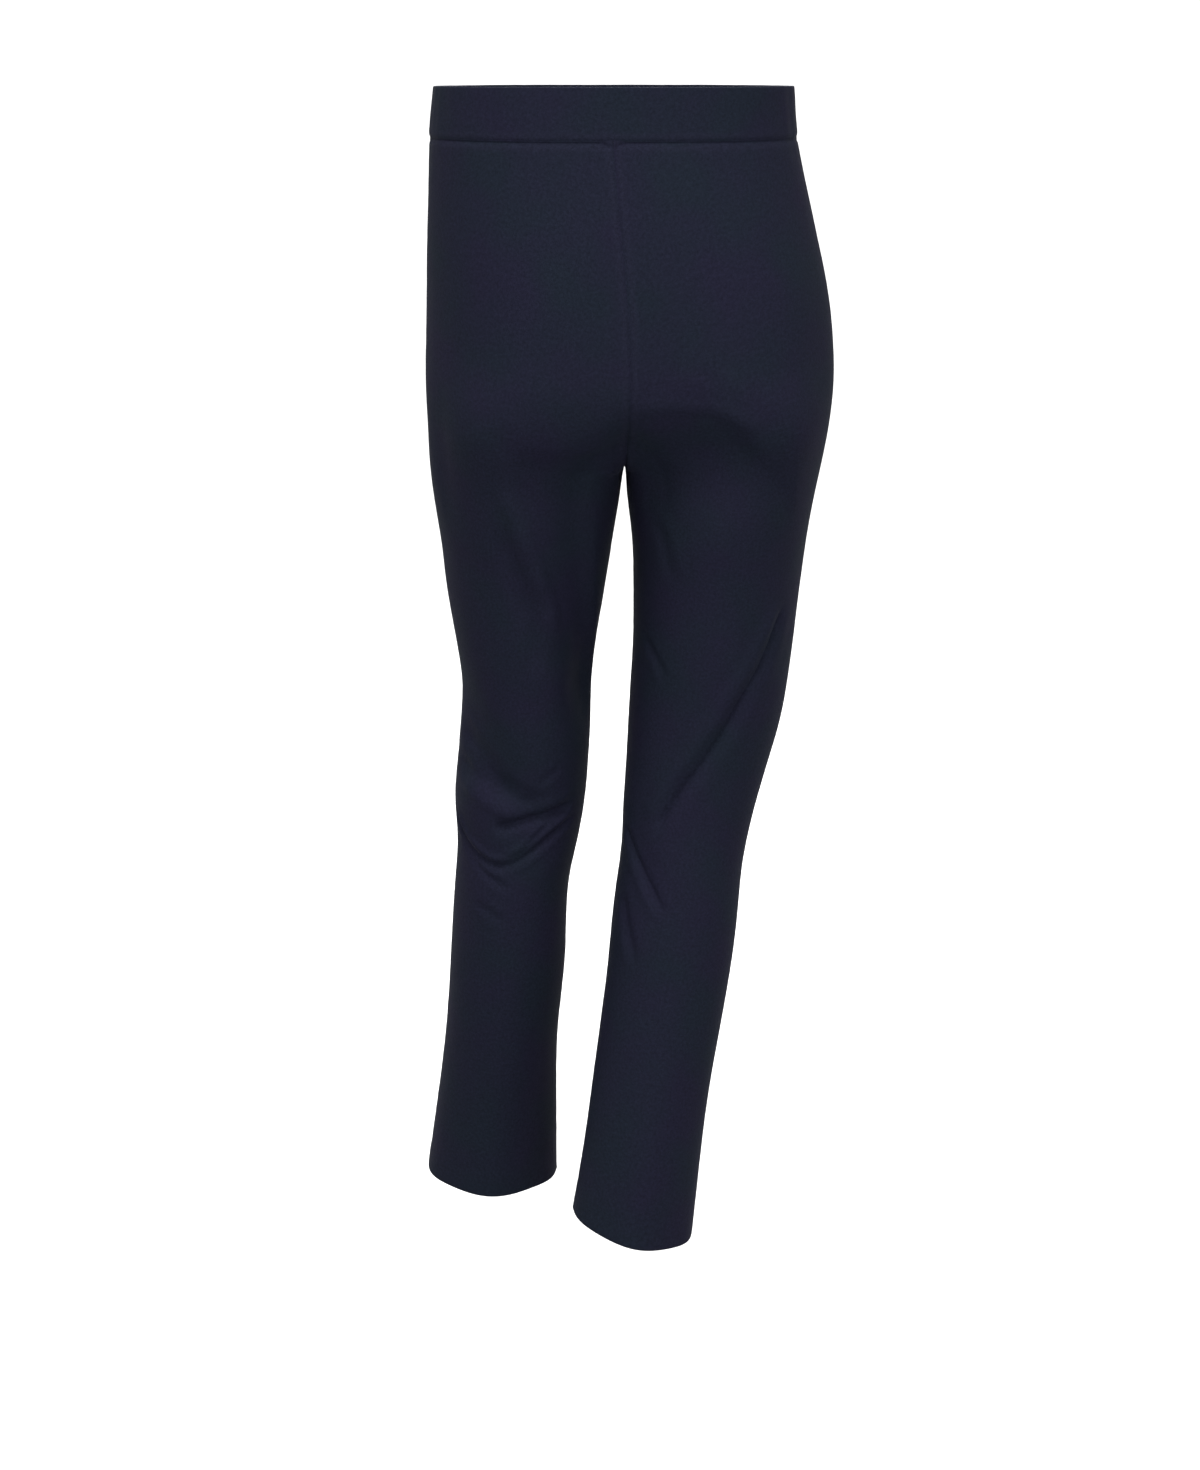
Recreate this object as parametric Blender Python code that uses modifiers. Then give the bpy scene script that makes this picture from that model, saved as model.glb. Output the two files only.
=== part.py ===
"""Pull-on straight-leg leggings in ponte knit, filled out as they are worn.

Four panels are cut and sewn: a front and a back for each leg. They meet at the side seams,
the inseams and one centre seam that runs from the waist through the crotch. An elastic
waistband in two halves closes the top, and each leg ends in a turned-up hem.

Axes: +Z is up and the garment's front faces -Y, so the wearer's left leg is at +X.
The origin is the middle of the waist opening, level with the middle of the waistband.
"""

import math
from collections import namedtuple

import bmesh
import bpy

MM = 0.001

# Cloth, seams and edges, in millimetres.
CLOTH = 1.5
SEAM_GAP = 0.6
WAISTBAND_HEIGHT = 40.0
WAISTBAND_WALL = 3.0
WAISTBAND_PROUD = 0.8
WAIST_TILT = 12.0
HEM_TURN = 28.0
HEM_WALL = 1.2
HEM_SPACE = 0.3

# Heights of the form, measured from the middle of the waistband. The fork is where the
# crotch seam stops running straight down and starts to turn under.
WAIST = WAISTBAND_HEIGHT / 2
PANEL_TOP = -WAIST - SEAM_GAP
FORK = -196.0
CROTCH = -296.0
HEM = -975.0

# How far a hem climbs for each millimetre towards the wearer's left.
HEM_SLOPE = {"left": 0.04, "right": 0.23}

# Round one leg "around" runs from the inseam (or centre front) at 0, past the side, back to
# the inseam (or centre back) at 1. The side seam sits a little in front of the widest point.
SIDE_SEAM = 0.485
FRONT_COLUMNS = 11
BACK_COLUMNS = 12

# The rows of a panel: heights between which they are evenly spread, and how many.
Band = namedtuple("Band", "top bottom rows")
BANDS = [
    Band(PANEL_TOP, FORK, 6),
    Band(FORK, CROTCH, 6),
    Band(CROTCH, -485.0, 8),
    Band(-485.0, -680.0, 11),
    Band(-680.0, HEM + HEM_TURN, 8),
    Band(HEM + HEM_TURN, HEM, 1),
]

# Waist to crotch, in millimetres: where the centre seam lies in X, half the width, how far
# the front and back reach in Y, and how much fuller than an oval the seat is.
Body = namedtuple("Body", "height middle half_width front back fullness")
BODY = [
    Body(20.0, 0.0, 148.0, -101.0, 101.0, 0.03),
    Body(-20.0, 0.0, 152.0, -104.0, 104.0, 0.04),
    Body(-65.0, -4.0, 158.0, -107.0, 111.0, 0.06),
    Body(-105.0, -8.0, 163.5, -108.0, 117.0, 0.08),
    Body(-155.0, -13.0, 169.5, -108.0, 121.0, 0.11),
    Body(-215.0, -14.0, 173.0, -105.0, 122.0, 0.12),
    Body(-258.0, -13.0, 171.0, -101.0, 116.0, 0.09),
    Body(-296.0, -10.5, 167.5, -97.0, 105.0, 0.03),
]
FRONT_FULLNESS = 0.5

# How soon the U of the crotch seam fades into the cloth beside it: more is sooner.
SEAM_FADE = 4

# Crotch to hem: X of the inseam side and of the outer side, Y of the front and of the back.
# Lower down the legs are less full than an oval, because they are pressed flat at the seams.
Leg = namedtuple("Leg", "height inner outer front back fullness")
LEGS = {
    "left": [
        Leg(-330.0, -5.0, 153.0, -94.0, 94.0, 0.0),
        Leg(-360.0, -0.5, 148.0, -92.0, 85.0, 0.0),
        Leg(-400.0, 5.5, 144.5, -90.0, 76.0, 0.0),
        Leg(-450.0, 14.0, 137.0, -88.0, 68.0, 0.0),
        Leg(-490.0, 18.0, 132.0, -87.0, 61.0, 0.0),
        Leg(-550.0, 19.5, 136.0, -85.0, 54.0, 0.0),
        Leg(-600.0, 23.5, 141.0, -83.0, 50.0, 0.0),
        Leg(-640.0, 31.0, 138.5, -81.0, 47.0, 0.0),
        Leg(-680.0, 39.5, 141.0, -80.0, 47.0, 0.0),
        Leg(-750.0, 42.5, 146.0, -81.0, 44.0, -0.03),
        Leg(-835.0, 50.0, 152.0, -87.0, 36.0, -0.06),
        Leg(-900.0, 50.5, 160.5, -97.0, 29.0, -0.09),
        Leg(-975.0, 50.5, 171.5, -111.0, 24.0, -0.16),
    ],
    "right": [
        Leg(-330.0, -13.5, -171.5, -93.0, 95.0, 0.0),
        Leg(-360.0, -17.5, -167.0, -90.0, 87.0, 0.0),
        Leg(-410.0, -18.5, -161.0, -86.0, 80.0, 0.0),
        Leg(-450.0, -18.5, -157.5, -82.0, 77.0, 0.0),
        Leg(-510.0, -15.0, -149.5, -74.0, 73.0, 0.0),
        Leg(-560.0, -12.0, -136.5, -65.0, 72.0, 0.0),
        Leg(-600.0, -9.0, -125.5, -56.0, 74.0, 0.0),
        Leg(-645.0, -7.5, -116.0, -46.0, 79.0, 0.0),
        Leg(-700.0, -0.5, -110.5, -34.0, 87.0, 0.0),
        Leg(-755.0, 4.5, -102.5, -25.0, 95.0, -0.02),
        Leg(-830.0, 13.5, -89.0, -14.0, 106.0, -0.04),
        Leg(-900.0, 23.0, -80.0, -4.0, 117.0, -0.06),
        Leg(-975.0, 35.0, -73.0, 6.0, 128.0, -0.12),
    ],
}

# The largest folds: troughs pressed into the cloth along a line from one point to another.
# The width is from the middle of the trough to where it fades out sideways, and the depth
# fades along the line, down to a share of it at the ends.
Fold = namedtuple("Fold", "leg around height to_around to_height width depth")
FOLDS = [
    Fold("left", 0.92, -294.0, 0.80, -302.0, 34.0, 4.0),
    Fold("left", 0.59, -502.0, 0.77, -588.0, 27.0, 6.5),
    Fold("left", 0.71, -609.0, 0.88, -603.0, 19.0, 5.0),
    Fold("left", 0.58, -630.0, 0.70, -647.0, 17.0, 3.5),
    Fold("left", 0.70, -647.0, 0.88, -618.0, 17.0, 3.0),
    Fold("right", 0.93, -262.0, 0.73, -290.0, 38.0, 9.0),
    Fold("right", 0.61, -415.0, 0.69, -488.0, 24.0, 3.5),
    Fold("right", 0.69, -488.0, 0.82, -592.0, 22.0, 4.0),
    Fold("right", 0.90, -626.0, 0.80, -670.0, 20.0, 3.5),
]

FOLD_ENDS = 0.45

Section = namedtuple("Section", "height inner outer front back fullness")


def blend(first, second, share):
    return first + (second - first) * share


def sections(leg, side):
    """One row for each named section of a leg's half of the garment, waist to hem."""
    body = [
        Section(b.height, b.middle, b.middle + side * b.half_width, b.front, b.back, b.fullness)
        for b in BODY
    ]
    return body + [Section(*row) for row in LEGS[leg]]


SECTIONS = {"left": sections("left", 1.0), "right": sections("right", -1.0)}


def section_at(leg, height):
    """The section at any height, on a smooth curve through the rows."""
    rows = SECTIONS[leg]
    last = len(rows) - 1
    index = 0
    while index < last - 1 and rows[index + 1].height > height:
        index += 1
    above, below = rows[index], rows[index + 1]
    before, after = rows[max(index - 1, 0)], rows[min(index + 2, last)]
    span = below.height - above.height
    share = (height - above.height) / span
    values = []
    for a, b, c, d in zip(before, above, below, after):
        slope_in = (c - a) / (below.height - before.height)
        slope_out = (d - b) / (after.height - above.height)
        values.append(
            (2 * share**3 - 3 * share**2 + 1) * b
            + (share**3 - 2 * share**2 + share) * span * slope_in
            + (3 * share**2 - 2 * share**3) * c
            + (share**3 - share**2) * span * slope_out
        )
    return Section(*values)


def girth(leg, height):
    """Roughly how far it is round the section, from around = 0 to around = 1."""
    ring = section_at(leg, height)
    closed = math.pi * (abs(ring.outer - ring.inner) + ring.back - ring.front) / 2
    half = math.pi * (2 * abs(ring.outer - ring.inner) + ring.back - ring.front) / 4
    return half if height > CROTCH else closed


def fold_depth(leg, around, height):
    """How far the folds press the cloth in at a point, in millimetres."""
    total = 0.0
    round_leg = girth(leg, height)
    for fold in [f for f in FOLDS if f.leg == leg]:
        run = (fold.to_around - fold.around) * round_leg
        drop = fold.to_height - fold.height
        off = (around - fold.around) * round_leg
        down = height - fold.height
        share = min(max((off * run + down * drop) / (run**2 + drop**2), 0.0), 1.0)
        away = math.hypot(off - share * run, down - share * drop) / fold.width
        if away < 1.0:
            fade = blend(FOLD_ENDS, 1.0, math.sin(math.pi * share))
            total += fold.depth * fade * (1 - away**2) ** 2
    return total


def form_point(leg, around, height):
    """A point on the outside of the garment, for a row's height at the side seam.

    A section starts as half an oval at the waist. Below the fork its ends turn under along
    the crotch seam, until at the crotch they meet and it is a closed ring.
    """
    rise = min(max((height - CROTCH) / (FORK - CROTCH), 0.0), 1.0)
    near_seam = math.cos(math.pi * around) ** SEAM_FADE
    level = height
    if 0.0 < rise < 1.0:
        level = blend(CROTCH, FORK, blend(rise, 1 - math.cos(math.pi / 2 * rise), near_seam))
        rise = (level - CROTCH) / (FORK - CROTCH)
    eased = math.pi / 2 * rise * rise * (3 - 2 * rise)
    reach = math.pi - blend(eased, math.acos(1 - rise), near_seam)
    turn = abs(2 * around - 1) * reach

    ring = section_at(leg, level)
    half_width = (ring.outer - ring.inner) / (1 - math.cos(reach))
    depth = (ring.back - ring.front) / 2
    swell = ring.fullness * math.sin(2 * turn) ** 2
    centre_x, centre_y = ring.outer - half_width, (ring.front + ring.back) / 2
    out_x = half_width * math.cos(turn)
    if around > 0.5:
        out_y = depth * math.sin(turn) * (1 + swell)
    else:
        out_y = -depth * math.sin(turn) * (1 + swell * FRONT_FULLNESS)
    kept = 1 - fold_depth(leg, around, level) / math.hypot(out_x, out_y)
    x, y = centre_x + kept * out_x, centre_y + kept * out_y

    if level > FORK:
        front_share = math.cos(math.pi / 2 * around) ** 2
        level -= WAIST_TILT * (front_share - 0.5) * (level - FORK) / -FORK
    if height >= CROTCH:
        clear = SEAM_GAP / 2
        x = max(x, ring.inner + clear) if leg == "left" else min(x, ring.inner - clear)
    else:
        level += HEM_SLOPE[leg] * (CROTCH - height) / (CROTCH - HEM) * (x - centre_x)
    return x * MM, y * MM, level * MM


def row_heights(bands):
    heights = [bands[0].top]
    for band in bands:
        heights += [blend(band.top, band.bottom, (i + 1) / band.rows) for i in range(band.rows)]
    return heights


def bent_grid(leg, start, end, columns, heights):
    """A flat grid moved onto the form: its columns run round, its rows down."""
    bm = bmesh.new()
    rows = len(heights) - 1
    bmesh.ops.create_grid(bm, x_segments=columns, y_segments=rows, size=0.5)
    for vert in bm.verts:
        height = heights[round((0.5 - vert.co.y) * rows)]
        gap = SEAM_GAP / 2 / girth(leg, height)
        vert.co = form_point(leg, blend(start + gap, end - gap, vert.co.x + 0.5), height)
    if leg == "right":
        bmesh.ops.reverse_faces(bm, faces=bm.faces)
    return bm


def joined(first, second):
    """Two grids as one, sewn where their edges meet."""
    mesh = bpy.data.meshes.new("second")
    second.to_mesh(mesh)
    second.free()
    first.from_mesh(mesh)
    bpy.data.meshes.remove(mesh)
    edge = [vert for vert in first.verts if vert.is_boundary]
    bmesh.ops.remove_doubles(first, verts=edge, dist=2 * SEAM_GAP * MM)
    first.normal_update()
    return first


def move_out(bm, distance):
    for vert, normal in [(v, v.normal.copy()) for v in bm.verts]:
        vert.co += normal * distance * MM


def cloth(bm, name, wall, material, collection):
    """Turns a skin into an object whose cloth wall grows inwards from it."""
    mesh = bpy.data.meshes.new(name)
    bm.to_mesh(mesh)
    bm.free()
    mesh.materials.append(material)
    mesh.shade_smooth()
    obj = bpy.data.objects.new(name, mesh)
    collection.objects.link(obj)
    solidify = obj.modifiers.new("Cloth", "SOLIDIFY")
    solidify.thickness = wall * MM
    solidify.offset = -1.0


def knit(name, colour, roughness):
    material = bpy.data.materials.new(name)
    material.use_nodes = True
    shader = material.node_tree.nodes["Principled BSDF"]
    shader.inputs["Base Color"].default_value = (*colour, 1.0)
    shader.inputs["Roughness"].default_value = roughness
    shader.inputs["Metallic"].default_value = 0.0
    return material


def make_panels(material, collection):
    heights = row_heights(BANDS)
    for leg in LEGS:
        front = bent_grid(leg, 0.0, SIDE_SEAM, FRONT_COLUMNS, heights)
        cloth(front, f"front_{leg}", CLOTH, material, collection)
        back = bent_grid(leg, SIDE_SEAM, 1.0, BACK_COLUMNS, heights)
        cloth(back, f"back_{leg}", CLOTH, material, collection)


def make_hems(material, collection):
    """The turned-up cloth inside each leg end, a ring that follows the panels' inner face."""
    heights = row_heights(BANDS[-1:])
    for leg in LEGS:
        front = bent_grid(leg, 0.0, SIDE_SEAM, FRONT_COLUMNS, heights)
        back = bent_grid(leg, SIDE_SEAM, 1.0, BACK_COLUMNS, heights)
        ring = joined(front, back)
        move_out(ring, -CLOTH - HEM_SPACE)
        cloth(ring, f"hem_{leg}", HEM_WALL, material, collection)


def make_waistband(material, collection):
    """A front and a back half of the elastic band, each across both legs' halves."""
    heights = [WAIST, 0.0, -WAIST]
    halves = {"front": (0.0, SIDE_SEAM, FRONT_COLUMNS), "back": (SIDE_SEAM, 1.0, BACK_COLUMNS)}
    for half, (start, end, columns) in halves.items():
        left = bent_grid("left", start, end, columns, heights)
        right = bent_grid("right", start, end, columns, heights)
        band = joined(left, right)
        move_out(band, WAISTBAND_PROUD)
        cloth(band, f"waistband_{half}", WAISTBAND_WALL, material, collection)


def main():
    for obj in list(bpy.data.objects):
        bpy.data.objects.remove(obj)
    collection = bpy.data.collections.new("Leggings")
    bpy.context.scene.collection.children.link(collection)
    ponte = knit("Navy ponte knit", (0.017, 0.018, 0.030), 0.85)
    make_panels(ponte, collection)
    make_hems(ponte, collection)
    make_waistband(ponte, collection)


main()
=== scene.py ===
import math

import bmesh
import bpy
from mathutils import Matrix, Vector, noise
from mathutils.bvhtree import BVHTree
from mathutils.kdtree import KDTree


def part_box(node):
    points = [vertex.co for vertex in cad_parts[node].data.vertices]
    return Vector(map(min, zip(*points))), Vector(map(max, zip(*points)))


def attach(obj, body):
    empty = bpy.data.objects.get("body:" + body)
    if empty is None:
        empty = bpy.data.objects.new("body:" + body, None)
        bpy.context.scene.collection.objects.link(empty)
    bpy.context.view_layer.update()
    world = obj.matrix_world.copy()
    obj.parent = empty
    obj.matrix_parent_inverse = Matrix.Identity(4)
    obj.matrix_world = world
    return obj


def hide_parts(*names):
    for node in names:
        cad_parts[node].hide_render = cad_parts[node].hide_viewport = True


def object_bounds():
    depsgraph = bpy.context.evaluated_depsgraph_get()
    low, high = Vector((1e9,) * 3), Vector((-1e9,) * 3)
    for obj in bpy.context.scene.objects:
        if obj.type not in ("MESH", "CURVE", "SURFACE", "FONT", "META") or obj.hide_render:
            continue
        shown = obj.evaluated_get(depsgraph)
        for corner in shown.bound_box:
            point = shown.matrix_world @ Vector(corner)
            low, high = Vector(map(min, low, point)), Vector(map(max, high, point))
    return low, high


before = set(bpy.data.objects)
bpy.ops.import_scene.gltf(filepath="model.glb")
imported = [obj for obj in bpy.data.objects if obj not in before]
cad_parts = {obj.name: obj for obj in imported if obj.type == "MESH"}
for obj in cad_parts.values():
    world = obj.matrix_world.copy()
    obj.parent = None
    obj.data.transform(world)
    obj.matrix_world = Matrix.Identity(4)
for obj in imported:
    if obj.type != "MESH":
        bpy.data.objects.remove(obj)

mm = 0.001
cadBox = [[float(v) for v in corner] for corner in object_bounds()]


def linearColour(hexCode):
    parts = [int(hexCode[i:i + 2], 16) / 255 for i in (1, 3, 5)]
    return [c / 12.92 if c <= 0.04045 else ((c + 0.055) / 1.055) ** 2.4 for c in parts] + [1.0]


def addNode(material, kind, settings=None, inputs=None):
    # one node with its plain settings, and its sockets by name or number: a value or a link
    tree = material.node_tree
    node = tree.nodes.new(kind)
    for name, value in (settings or {}).items():
        setattr(node, name, value)
    for name, value in (inputs or {}).items():
        if isinstance(value, bpy.types.NodeSocket):
            tree.links.new(value, node.inputs[name])
        else:
            node.inputs[name].default_value = value
    return node


def newMaterial(name, **values):
    material = bpy.data.materials.new(name)
    material.use_nodes = True
    shader = material.node_tree.nodes["Principled BSDF"]
    for socket, value in values.items():
        shader.inputs[socket.replace("_", " ")].default_value = value
    return material, shader


def meshPiece(bm, name):
    mesh = bpy.data.meshes.new(name)
    bm.to_mesh(mesh)
    bm.free()
    piece = bpy.data.objects.new(name, mesh)
    bpy.context.scene.collection.objects.link(piece)
    return piece


studio = {
    "cameraPlace": (0.0105, 2.40, 0.20),    # behind the garment, a little above its waist
    "cameraPitch": 17.1,                    # degrees below level
    "lens": 69.8,
    "floorDrop": 95,                        # mm from the lower hem, an ankle's height
    "floorSize": 30,                        # m
    "floorColour": "#c4c4c4",               # matt paint, a little grey so that it keeps its shade
    "floorRoughness": 0.9,
    # the room is bright overhead, even at eye level and dim towards the ground, and it blends
    # from one to the next between these heights of a direction's tip
    "overhead": 1.7, "level": 1.07, "below": 0.40,
    "dimming": (-0.7, -0.05), "brightening": (0.1, 1.0),
}

lamps = {
    # place, width and watts; each lamp looks at the middle of the garment
    "seatLamp": ((0.20, 0.90, 1.50), 0.7, 43),
    "frontLamp": ((0.0, -1.50, 0.90), 0.9, 44),
    "calfLamp": ((-0.75, 1.45, -0.35), 0.7, 14),
    "sideLamp": ((0.85, 1.50, -0.25), 0.7, 9),
}


def makeStudio():
    scene = bpy.context.scene
    scene.view_settings.view_transform = "Standard"
    world = bpy.data.worlds.new("studioWalls")
    world.use_nodes = True
    room = addNode(world, "ShaderNodeTexCoord")
    up = addNode(world, "ShaderNodeSeparateXYZ", inputs={0: room.outputs["Generated"]})
    low = addNode(world, "ShaderNodeMapRange", {"interpolation_type": "SMOOTHSTEP"}, {
        0: up.outputs[2], 1: studio["dimming"][0], 2: studio["dimming"][1],
        3: studio["below"], 4: studio["level"]})
    high = addNode(world, "ShaderNodeMapRange", {"interpolation_type": "SMOOTHSTEP"}, {
        0: up.outputs[2], 1: studio["brightening"][0], 2: studio["brightening"][1],
        3: 0.0, 4: studio["overhead"]})
    glow = addNode(world, "ShaderNodeMath", {"operation": "ADD"},
                   {0: low.outputs[0], 1: high.outputs[0]})
    walls = world.node_tree.nodes["Background"]
    walls.inputs["Color"].default_value = (1.0, 1.0, 1.0, 1.0)
    world.node_tree.links.new(glow.outputs[0], walls.inputs["Strength"])
    scene.world = world

    camera = bpy.data.objects.new("camera", bpy.data.cameras.new("camera"))
    camera.location = studio["cameraPlace"]
    camera.rotation_euler = (math.radians(90 - studio["cameraPitch"]), 0, math.pi)
    camera.data.lens = studio["lens"]
    scene.collection.objects.link(camera)
    scene.camera = camera

    middle = Vector((0, 0, (cadBox[0][2] + cadBox[1][2]) / 2))
    for name, (place, width, watts) in lamps.items():
        light = bpy.data.lights.new(name, "AREA")
        light.size = width
        light.energy = watts
        lamp = bpy.data.objects.new(name, light)
        lamp.location = place
        lamp.rotation_euler = (middle - Vector(place)).to_track_quat("-Z", "Y").to_euler()
        scene.collection.objects.link(lamp)

    bm = bmesh.new()
    bmesh.ops.create_grid(bm, x_segments=1, y_segments=1, size=studio["floorSize"])
    bmesh.ops.translate(bm, verts=bm.verts, vec=(0, 0, cadBox[0][2] - studio["floorDrop"] * mm))
    floor = meshPiece(bm, "floor")
    paint, _ = newMaterial("matt white paint", Base_Color=linearColour(studio["floorColour"]),
                           Roughness=studio["floorRoughness"])
    floor.data.materials.append(paint)
    floor.visible_diffuse = False    # it throws no light up at the cloth


ponteKnit = {
    # double knit of viscose, polyamide and elastane, piece-dyed and brushed by wear: dense and
    # quite matt, so that folds show by their shade alone, with a fine grain of small stitches
    "colour": "#11111d",
    "slate": "#0e121a",          # the dye drifts a little towards a greyer blue
    "rubbed": "#13141f",         # where edges and seams are brushed by wear
    # mm between columns and between rows of stitches, drawn a little coarser than life to show
    "wale": 0.9, "course": 0.7,
    "stray": 1.3,                # mm that the columns wander from a straight line, at most
    "strayLength": 9.0,
    "columns": 1.3,              # the columns stand out more than the rows
    "relief": 0.07,              # mm that a stitch stands up
    "bump": 0.8,
    "heather": 2.6,              # mm, the size of the unevenness in the yarn
    "yarnRelief": 0.9,           # how much it stands out beside a stitch
    "cloud": 70,                 # mm, the size of the drifts in the dye
    # how dark and how light each of these makes the knit: marl, yarn and drift are the dye's own
    # unevenness, and the gaps between the stitches get painted shade
    "marl": (0.86, 1.14), "gap": (0.56, 1.1), "yarn": (0.80, 1.20), "drift": (0.96, 1.04),
    "roughness": 0.82,
    "specular": 0.03,            # fuzz scatters nearly all the light
}

overlockThread = {
    # spun polyester thread in loops over a cut edge, tonal, a little shinier than the knit
    "colour": "#1d2030",
    "pitch": 2.4,                # mm between two loops
    "slant": 0.7,                # the loops lean across the edge
    # painted shade: the thread is darker between its loops and lighter on them
    "shade": (0.45, 1.1),        # between the threads and on them
    "relief": 0.35,
    "roughness": 0.62,
    "specular": 0.3,
}


def makePonte():
    look = ponteKnit
    material, shader = newMaterial("navy ponte double knit", Roughness=look["roughness"],
                                   Specular_IOR_Level=look["specular"])
    place = addNode(material, "ShaderNodeUVMap", {"uv_map": "cut"})
    drawn = addNode(material, "ShaderNodeTexNoise", inputs={
        "Vector": place.outputs[0], "Scale": 1 / (look["strayLength"] * mm), "Detail": 1.0})
    stray = addNode(material, "ShaderNodeVectorMath", {"operation": "MULTIPLY_ADD"}, {
        0: drawn.outputs["Color"], 1: (look["stray"] * mm, look["stray"] * mm, 0),
        2: place.outputs[0]})
    apart = addNode(material, "ShaderNodeSeparateXYZ", inputs={0: stray.outputs[0]})

    # a stitch is a V: each wale is a ridge, and the courses cross it with a zigzag of half a stitch
    wale = addNode(material, "ShaderNodeMath", {"operation": "MULTIPLY"},
                   {0: apart.outputs[0], 1: 1 / (look["wale"] * mm)})
    acrossWale = addNode(material, "ShaderNodeMath", {"operation": "PINGPONG"},
                         {0: wale.outputs[0], 1: 0.5})
    course = addNode(material, "ShaderNodeMath", {"operation": "MULTIPLY_ADD"}, {
        0: apart.outputs[1], 1: 1 / (look["course"] * mm), 2: acrossWale.outputs[0]})
    acrossCourse = addNode(material, "ShaderNodeMath", {"operation": "PINGPONG"},
                           {0: course.outputs[0], 1: 0.5})
    stitch = addNode(material, "ShaderNodeMath", {"operation": "MULTIPLY_ADD"},
                     {0: acrossWale.outputs[0], 1: look["columns"], 2: acrossCourse.outputs[0]})
    # each stitch takes the dye a little differently, and the gaps between stitches are painted
    # darker as painted shade
    waleNumber = addNode(material, "ShaderNodeMath", {"operation": "FLOOR"}, {0: wale.outputs[0]})
    courseNumber = addNode(material, "ShaderNodeMath", {"operation": "FLOOR"},
                           {0: course.outputs[0]})
    cell = addNode(material, "ShaderNodeCombineXYZ", inputs={
        0: waleNumber.outputs[0], 1: courseNumber.outputs[0]})
    single = addNode(material, "ShaderNodeTexWhiteNoise", inputs={0: cell.outputs[0]})
    marl = addNode(material, "ShaderNodeMapRange", inputs={
        0: single.outputs[0], 1: 0.0, 2: 1.0, 3: look["marl"][0], 4: look["marl"][1]})
    gap = addNode(material, "ShaderNodeMapRange", inputs={
        0: stitch.outputs[0], 1: 0.0, 2: 0.5, 3: look["gap"][0], 4: look["gap"][1]})
    yarn = addNode(material, "ShaderNodeTexNoise", inputs={
        "Vector": place.outputs[0], "Scale": 1 / (look["heather"] * mm),
        "Detail": 3.0, "Roughness": 0.6})
    height = addNode(material, "ShaderNodeMath", {"operation": "MULTIPLY_ADD"},
                     {0: yarn.outputs[0], 1: look["yarnRelief"], 2: stitch.outputs[0]})
    bump = addNode(material, "ShaderNodeBump", inputs={
        "Strength": look["bump"], "Distance": look["relief"] * mm, "Height": height.outputs[0]})

    wear = addNode(material, "ShaderNodeAttribute", {"attribute_name": "rub"})
    cloud = addNode(material, "ShaderNodeTexNoise", inputs={
        "Vector": place.outputs[0], "Scale": 1 / (look["cloud"] * mm), "Detail": 2.0})
    toSlate = addNode(material, "ShaderNodeMapRange", inputs={
        0: cloud.outputs[0], 1: 0.35, 2: 0.65, 3: 0.0, 4: 1.0})
    dyed = addNode(material, "ShaderNodeMix", {"data_type": "RGBA"}, {
        0: toSlate.outputs[0], 6: linearColour(look["colour"]), 7: linearColour(look["slate"])})
    base = addNode(material, "ShaderNodeMix", {"data_type": "RGBA"}, {
        0: wear.outputs["Fac"], 6: dyed.outputs[2], 7: linearColour(look["rubbed"])})
    shade = addNode(material, "ShaderNodeMapRange", inputs={
        0: yarn.outputs[0], 1: 0.3, 2: 0.7, 3: look["yarn"][0], 4: look["yarn"][1]})
    drift = addNode(material, "ShaderNodeMapRange", inputs={
        0: cloud.outputs[0], 1: 0.3, 2: 0.7, 3: look["drift"][0], 4: look["drift"][1]})
    uneven = addNode(material, "ShaderNodeMath", {"operation": "MULTIPLY"},
                     {0: shade.outputs[0], 1: drift.outputs[0]})
    knitted = addNode(material, "ShaderNodeMath", {"operation": "MULTIPLY"},
                      {0: marl.outputs[0], 1: gap.outputs[0]})
    # the dye's own unevenness times the painted shade in the gaps between stitches
    dyeAndGapShade = addNode(material, "ShaderNodeMath", {"operation": "MULTIPLY"},
                  {0: uneven.outputs[0], 1: knitted.outputs[0]})
    colour = addNode(material, "ShaderNodeVectorMath", {"operation": "SCALE"},
                     {0: base.outputs[2], "Scale": dyeAndGapShade.outputs[0]})
    links = material.node_tree.links
    links.new(colour.outputs[0], shader.inputs["Base Color"])
    links.new(bump.outputs[0], shader.inputs["Normal"])
    return material


def makeOverlock():
    look = overlockThread
    material, shader = newMaterial("navy overlock thread", Roughness=look["roughness"],
                                   Specular_IOR_Level=look["specular"])
    place = addNode(material, "ShaderNodeTexCoord")
    apart = addNode(material, "ShaderNodeSeparateXYZ", inputs={0: place.outputs["Object"]})
    turn = addNode(material, "ShaderNodeMath", {"operation": "MULTIPLY_ADD"},
                   {0: apart.outputs[1], 1: look["slant"], 2: apart.outputs[2]})
    loops = addNode(material, "ShaderNodeMath", {"operation": "MULTIPLY"},
                    {0: turn.outputs[0], 1: 1 / (look["pitch"] * mm)})
    thread = addNode(material, "ShaderNodeMath", {"operation": "PINGPONG"},
                     {0: loops.outputs[0], 1: 0.5})
    bump = addNode(material, "ShaderNodeBump", inputs={
        "Strength": 1.0, "Distance": look["relief"] * mm, "Height": thread.outputs[0]})
    # painted shade between the loops of thread, lighter on their tops
    shade = addNode(material, "ShaderNodeMapRange", inputs={
        0: thread.outputs[0], 1: 0.0, 2: 0.3, 3: look["shade"][0], 4: look["shade"][1]})
    colour = addNode(material, "ShaderNodeVectorMath", {"operation": "SCALE"},
                     {0: linearColour(look["colour"])[:3], "Scale": shade.outputs[0]})
    links = material.node_tree.links
    links.new(colour.outputs[0], shader.inputs["Base Color"])
    links.new(bump.outputs[0], shader.inputs["Normal"])
    return material


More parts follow.
